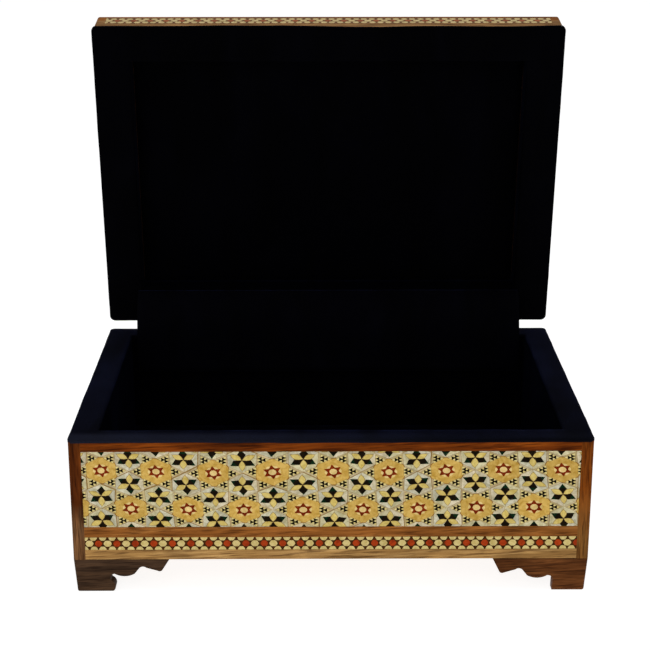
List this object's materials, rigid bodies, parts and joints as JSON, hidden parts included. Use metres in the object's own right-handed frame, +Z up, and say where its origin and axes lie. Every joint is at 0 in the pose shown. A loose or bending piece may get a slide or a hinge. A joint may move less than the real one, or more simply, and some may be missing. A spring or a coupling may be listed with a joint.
{
  "type": "inlaid wooden box",
  "caption": "Low rectangular jewellery box with geometric inlay on its faces, scalloped bracket feet, dark velvet lining and a lid that swings up on hidden back hinges.",
  "frame": {"origin": "centre of the box's footprint, on the surface that the feet stand on", "axes": "+X to the right seen from the front, +Y to the back where the hinges are, +Z up"},
  "size_m": [0.2016, 0.1585, 0.2064],
  "materials": {
    "frame_wood": "oiled, satin",
    "carcass_wood": "plain sanded wood",
    "foot_wood": "stained, satin",
    "inlay": "polished lacquer",
    "velvet": "short pile",
    "hinge_brass": "dull"
  },
  "bodies": {
    "box": {"back_bottom_rail": "frame_wood", "back_inlay_border": "inlay", "back_inlay_panel": "inlay", "back_left_foot": "foot_wood", "back_left_post": "frame_wood", "back_middle_rail": "frame_wood", "back_right_foot": "foot_wood", "back_right_post": "frame_wood", "back_top_rail": "frame_wood", "back_wall": "carcass_wood", "bottom_board": "carcass_wood", "box_hinge_screws": "hinge_brass", "floor_pad": "velvet", "front_bottom_rail": "frame_wood", "front_inlay_border": "inlay", "front_inlay_panel": "inlay", "front_left_foot": "foot_wood", "front_left_post": "frame_wood", "front_middle_rail": "frame_wood", "front_right_foot": "foot_wood", "front_right_post": "frame_wood", "front_top_rail": "frame_wood", "front_wall": "carcass_wood", "hinge_flap": "velvet", "left_bottom_rail": "frame_wood", "left_hinge_box_leaf": "hinge_brass", "left_hinge_pin": "hinge_brass", "left_inlay_border": "inlay", "left_inlay_panel": "inlay", "left_middle_rail": "frame_wood", "left_top_rail": "frame_wood", "left_wall": "carcass_wood", "right_bottom_rail": "frame_wood", "right_hinge_box_leaf": "hinge_brass", "right_hinge_pin": "hinge_brass", "right_inlay_border": "inlay", "right_inlay_panel": "inlay", "right_middle_rail": "frame_wood", "right_top_rail": "frame_wood", "right_wall": "carcass_wood", "rim_velvet": "velvet", "wall_lining": "velvet"},
    "lid": {"left_hinge_lid_leaf": "hinge_brass", "lid_back_inlay": "inlay", "lid_back_wall": "frame_wood", "lid_board": "frame_wood", "lid_front_inlay": "inlay", "lid_front_wall": "frame_wood", "lid_hinge_screws": "hinge_brass", "lid_left_inlay": "inlay", "lid_left_wall": "frame_wood", "lid_panel_lining": "velvet", "lid_right_inlay": "inlay", "lid_right_wall": "frame_wood", "lid_rim_velvet": "velvet", "lid_top_inlay": "inlay", "lid_wall_lining": "velvet", "right_hinge_lid_leaf": "hinge_brass"}
  },
  "joints": [
    {"name": "lid_hinge", "type": "hinge", "parent": "box", "child": "lid", "pos_m": [0, 0.0723, 0.06425], "axis": [1, 0, 0], "range_deg": [-12, 81], "deforming": ["hinge_flap"]}
  ]
}
